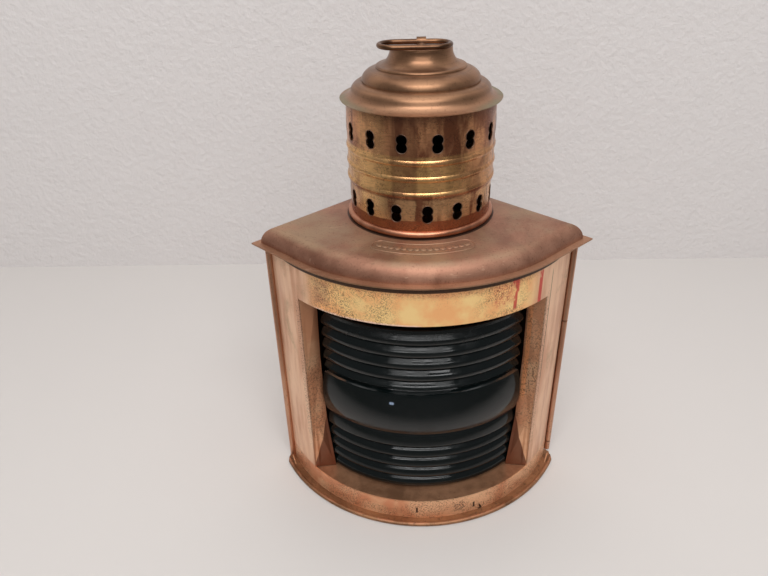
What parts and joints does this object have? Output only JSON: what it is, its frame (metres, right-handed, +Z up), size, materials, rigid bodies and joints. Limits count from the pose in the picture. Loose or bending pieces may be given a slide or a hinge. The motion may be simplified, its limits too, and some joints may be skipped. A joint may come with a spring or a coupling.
{
  "type": "starboard lantern",
  "caption": "Quarter-round sheet-metal side lantern with a ribbed green glass, a stepped chimney, a rear door and an oil lamp inside.",
  "frame": {"origin": "on the underside of the base, below the chimney's axis", "axes": "+Z up, -Y out through the middle of the window, +X to the side with the door"},
  "size_m": [0.2414, 0.1959, 0.3428],
  "materials": {
    "copper_sheet": "aged copper sheet, satin",
    "brass_sheet": "aged brass sheet, satin",
    "brass_wire": "dull drawn wire",
    "bronzed_sheet": "browned copper sheet, matt",
    "lamp_brass": "plain brass, satin",
    "steel": "dull steel",
    "green_glass": "deep green glass, polished",
    "clear_glass": "clear, polished",
    "cotton": "woven cotton"
  },
  "bodies": {
    "body": {"base_plate": "bronzed_sheet", "base_ears": "bronzed_sheet", "raised_floor": "bronzed_sheet", "front_plate": "brass_sheet", "window_reveals": "brass_sheet", "left_wall": "copper_sheet", "head_band": "bronzed_sheet", "hinge_post": "brass_sheet", "hinge_pin": "steel", "latch_jamb": "copper_sheet", "catch_rivet": "steel", "lens": "green_glass", "lens_channel_left": "copper_sheet", "lens_channel_right": "copper_sheet", "lens_top_channel": "copper_sheet", "roof": "bronzed_sheet", "chimney_collar": "copper_sheet", "foot_ring": "brass_sheet", "vent_drum": "copper_sheet", "inner_flue": "copper_sheet", "crown": "brass_sheet", "bail_strap": "brass_sheet", "strap_rivets": "steel", "lamp_ring": "lamp_brass"},
    "door": {"side_door": "copper_sheet"},
    "catch": {"door_catch": "brass_sheet"},
    "bail": {"hanging_bail": "brass_wire"},
    "lamp": {"oil_font": "lamp_brass", "font_collar": "lamp_brass", "burner_cup": "lamp_brass", "wick_tube": "lamp_brass", "flame_cone": "lamp_brass", "glass_gallery": "lamp_brass"},
    "wick": {"wick": "cotton"},
    "wick_feed": {"wick_spindle": "steel", "wick_knob": "lamp_brass"},
    "glass": {"glass_chimney": "clear_glass"}
  },
  "joints": [
    {"name": "side_door_hinge", "type": "hinge", "parent": "body", "child": "door", "pos_m": [0.11045, -0.01867, 0.1], "axis": [0, 0, -1], "range_deg": [0, 115]},
    {"name": "catch_turn", "type": "hinge", "parent": "body", "child": "catch", "pos_m": [0.00545, 0.09143, 0.106], "axis": [-0.7071, -0.7071, 0], "range_deg": [0, 90]},
    {"name": "bail_swing", "type": "hinge", "parent": "body", "child": "bail", "pos_m": [0, 0, 0.3399], "axis": [-1, 0, 0], "range_deg": [0, 180]},
    {"name": "lamp_lift", "type": "slide", "parent": "body", "child": "lamp", "axis": [0, 0, 1], "range_m": [0, 0.008]},
    {"name": "wick_knob_turn", "type": "hinge", "parent": "lamp", "child": "wick_feed", "pos_m": [-0.00368, 0.00368, 0.068], "axis": [-0.7071, -0.7071, 0], "range_deg": [-90, 45]},
    {"name": "wick_slide", "type": "slide", "parent": "lamp", "child": "wick", "axis": [0, 0, 1], "range_m": [-0.0065, 0.0033]},
    {"name": "glass_lift", "type": "slide", "parent": "lamp", "child": "glass", "axis": [0, 0, 1], "range_m": [0, 0.012]}
  ],
  "couplings": [
    {"joint": "wick_slide", "follows": "wick_knob_turn", "m_per_rad": 0.004}
  ]
}
